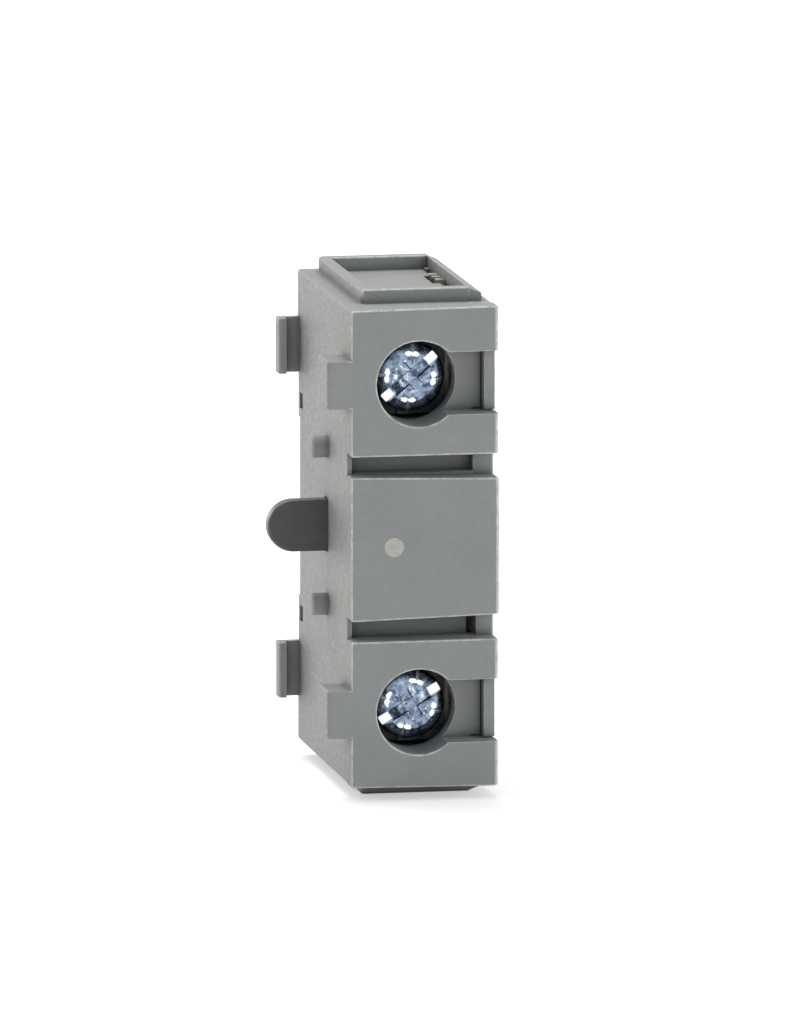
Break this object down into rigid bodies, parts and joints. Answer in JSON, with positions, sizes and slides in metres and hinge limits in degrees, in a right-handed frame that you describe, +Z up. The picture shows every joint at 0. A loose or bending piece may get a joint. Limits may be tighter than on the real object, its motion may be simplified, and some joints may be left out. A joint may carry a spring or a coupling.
{
  "type": "auxiliary contact block",
  "caption": "Narrow side-mounting auxiliary contact block with a push plunger on one side, two hooks, and two front screw terminals in deep wells.",
  "frame": {"origin": "on the mounting side of the case, at its mid height and mid depth, inside the plunger's opening", "axes": "+X from the mounting side towards the cover, -Y towards the front with the screws, +Z up"},
  "size_m": [0.0194, 0.0272, 0.0468],
  "materials": {
    "grey_moulding": "fine matte moulding",
    "dark_moulding": "satin",
    "zinc_plated_steel": "bright blue zinc plating",
    "dark_zinc_steel": "dull plating",
    "spring_steel": "drawn wire",
    "tinned_brass": "stamped and tin plated",
    "copper_alloy": "rolled and stamped",
    "silver_contact": "pressed"
  },
  "bodies": {
    "base": {"housing": "grey_moulding", "side_cover": "grey_moulding", "return_spring": "spring_steel", "upper_terminal_strip": "tinned_brass", "upper_fixed_tip": "silver_contact", "upper_terminal_nut": "zinc_plated_steel", "lower_terminal_strip": "tinned_brass", "lower_fixed_tip": "silver_contact", "lower_terminal_nut": "zinc_plated_steel"},
    "plunger": {"plunger": "dark_moulding", "bridge_retainer": "spring_steel", "contact_spring": "spring_steel"},
    "bridge": {"contact_bridge": "copper_alloy", "upper_bridge_tip": "silver_contact", "lower_bridge_tip": "silver_contact"},
    "upper_clamp": {"upper_clamp_washer": "dark_zinc_steel", "upper_lock_washer": "zinc_plated_steel"},
    "upper_screw": {"upper_terminal_screw": "zinc_plated_steel"},
    "lower_clamp": {"lower_clamp_washer": "dark_zinc_steel", "lower_lock_washer": "zinc_plated_steel"},
    "lower_screw": {"lower_terminal_screw": "zinc_plated_steel"}
  },
  "joints": [
    {"name": "plunger_push", "type": "slide", "parent": "base", "child": "plunger", "axis": [1, 0, 0], "range_m": [0, 0.003], "stiffness_N_per_m": 250, "springref_m": -0.002, "deforming": ["return_spring"]},
    {"name": "bridge_follow", "type": "slide", "parent": "plunger", "child": "bridge", "axis": [1, 0, 0], "range_m": [-0.00092, 0], "deforming": ["contact_spring"]},
    {"name": "upper_clamp_lift", "type": "slide", "parent": "base", "child": "upper_clamp", "axis": [0, -1, 0], "range_m": [0, 0.002]},
    {"name": "upper_screw_turn", "type": "hinge", "parent": "upper_clamp", "child": "upper_screw", "pos_m": [0.00635, 0, 0.0152], "axis": [0, -1, 0], "range_deg": [0, 1201]},
    {"name": "lower_clamp_lift", "type": "slide", "parent": "base", "child": "lower_clamp", "axis": [0, -1, 0], "range_m": [0, 0.002]},
    {"name": "lower_screw_turn", "type": "hinge", "parent": "lower_clamp", "child": "lower_screw", "pos_m": [0.00635, 0, -0.0152], "axis": [0, -1, 0], "range_deg": [0, 1201]}
  ],
  "couplings": [
    {"joint": "bridge_follow", "follows": "plunger_push", "ratio": -0.3},
    {"joint": "upper_screw_turn", "follows": "upper_clamp_lift", "rad_per_m": 10472},
    {"joint": "lower_screw_turn", "follows": "lower_clamp_lift", "rad_per_m": 10472}
  ]
}
